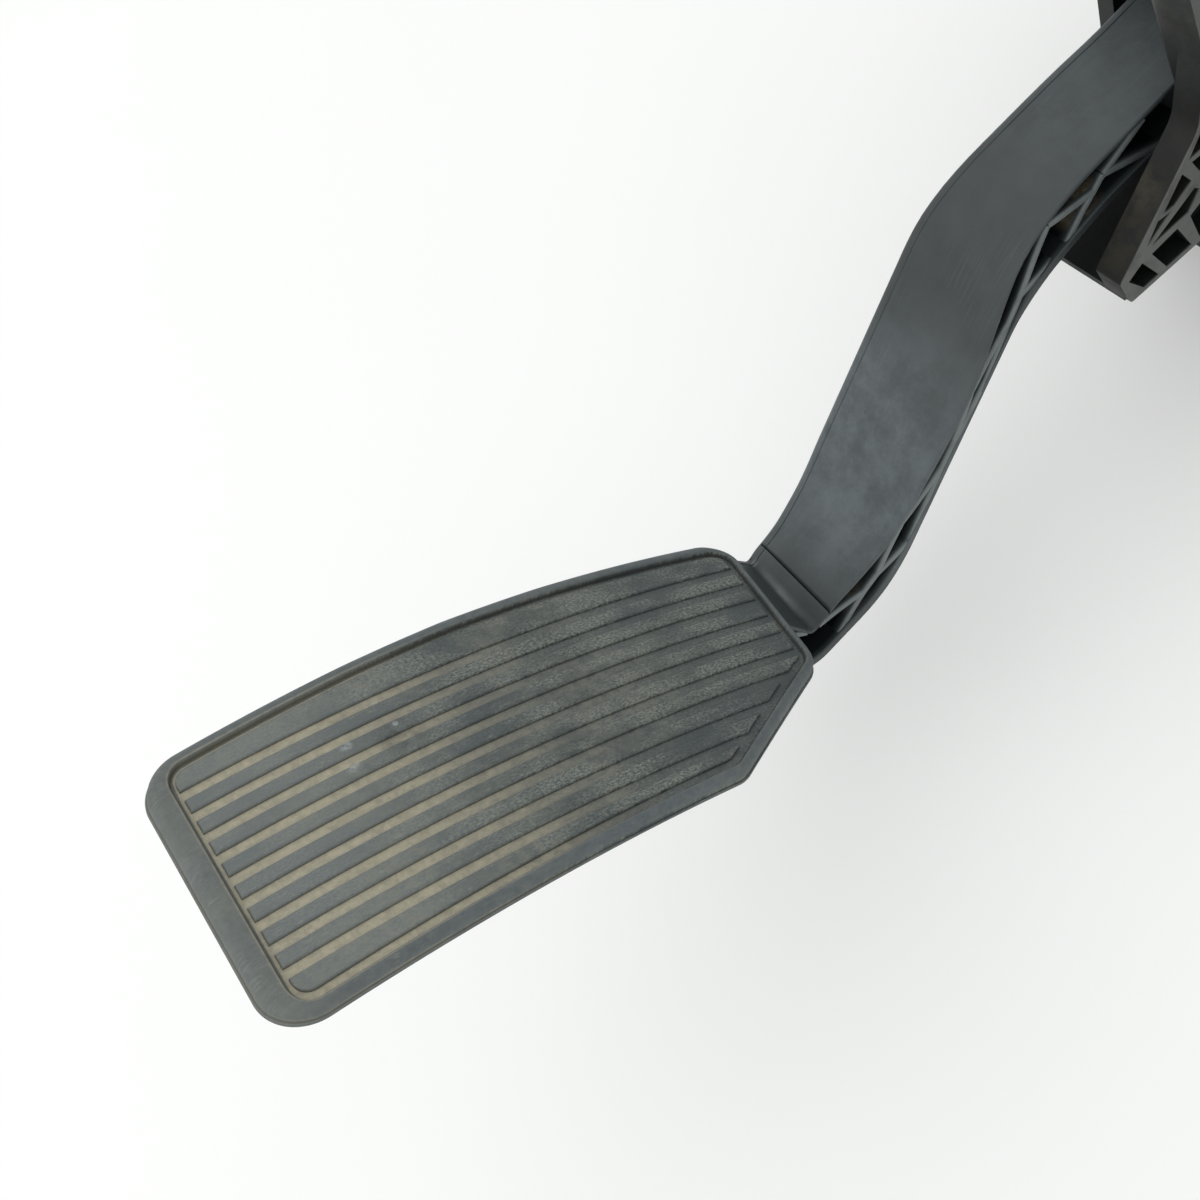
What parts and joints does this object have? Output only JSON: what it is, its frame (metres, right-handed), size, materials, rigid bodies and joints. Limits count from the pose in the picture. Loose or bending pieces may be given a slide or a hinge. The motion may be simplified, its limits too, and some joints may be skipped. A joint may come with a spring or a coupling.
{
  "type": "accelerator pedal",
  "caption": "Car accelerator pedal module: grooved pad on a cranked, cross-braced arm, hinged in a bolt-on housing with return springs, a friction shoe and a position sensor.",
  "frame": {"origin": "centre of the mounting bolt circle on the mounting face", "axes": "+Z away from the mounting face towards the driver's foot, Y along the pedal's pivot, -X from the housing towards the pad"},
  "size_m": [0.3102, 0.11, 0.1387],
  "materials": {
    "slate_plastic": "satin, scuffed and dusty",
    "dark_plastic": "satin, dusty",
    "steel": "turned",
    "spring_steel": "oiled",
    "bearing_nylon": "natural",
    "stop_rubber": "matte",
    "magnet": "sintered",
    "board": "satin",
    "chip": "matte",
    "pin_brass": "tinned"
  },
  "bodies": {
    "housing": {"housing": "dark_plastic", "bush_right": "bearing_nylon", "bush_left": "bearing_nylon", "outer_spring": "spring_steel", "inner_spring": "spring_steel", "idle_stop": "stop_rubber", "full_stop": "stop_rubber", "circuit_board": "board", "hall_sensor_a": "chip", "hall_sensor_b": "chip", "terminal_pin_1": "pin_brass", "terminal_pin_2": "pin_brass", "terminal_pin_3": "pin_brass", "terminal_pin_4": "pin_brass", "terminal_pin_5": "pin_brass", "terminal_pin_6": "pin_brass", "cover_seal": "stop_rubber", "sensor_cover": "dark_plastic", "cover_screw_1": "steel", "cover_screw_2": "steel", "cover_screw_3": "steel", "cover_screw_4": "steel", "mounting_sleeve_1": "steel", "mounting_sleeve_2": "steel", "mounting_sleeve_3": "steel"},
    "pedal": {"pedal_arm": "slate_plastic", "pivot_shaft": "steel", "shaft_clip": "spring_steel", "spring_seat": "bearing_nylon", "friction_shoe": "bearing_nylon", "magnet_rotor": "bearing_nylon", "rotor_magnet": "magnet"}
  },
  "joints": [
    {"name": "pedal_hinge", "type": "hinge", "parent": "housing", "child": "pedal", "pos_m": [-0.015, 0, 0.07], "axis": [0, -1, 0], "range_deg": [0, 13], "stiffness_Nm_per_rad": 16, "springref_deg": -13.75, "deforming": ["outer_spring", "inner_spring"]}
  ]
}
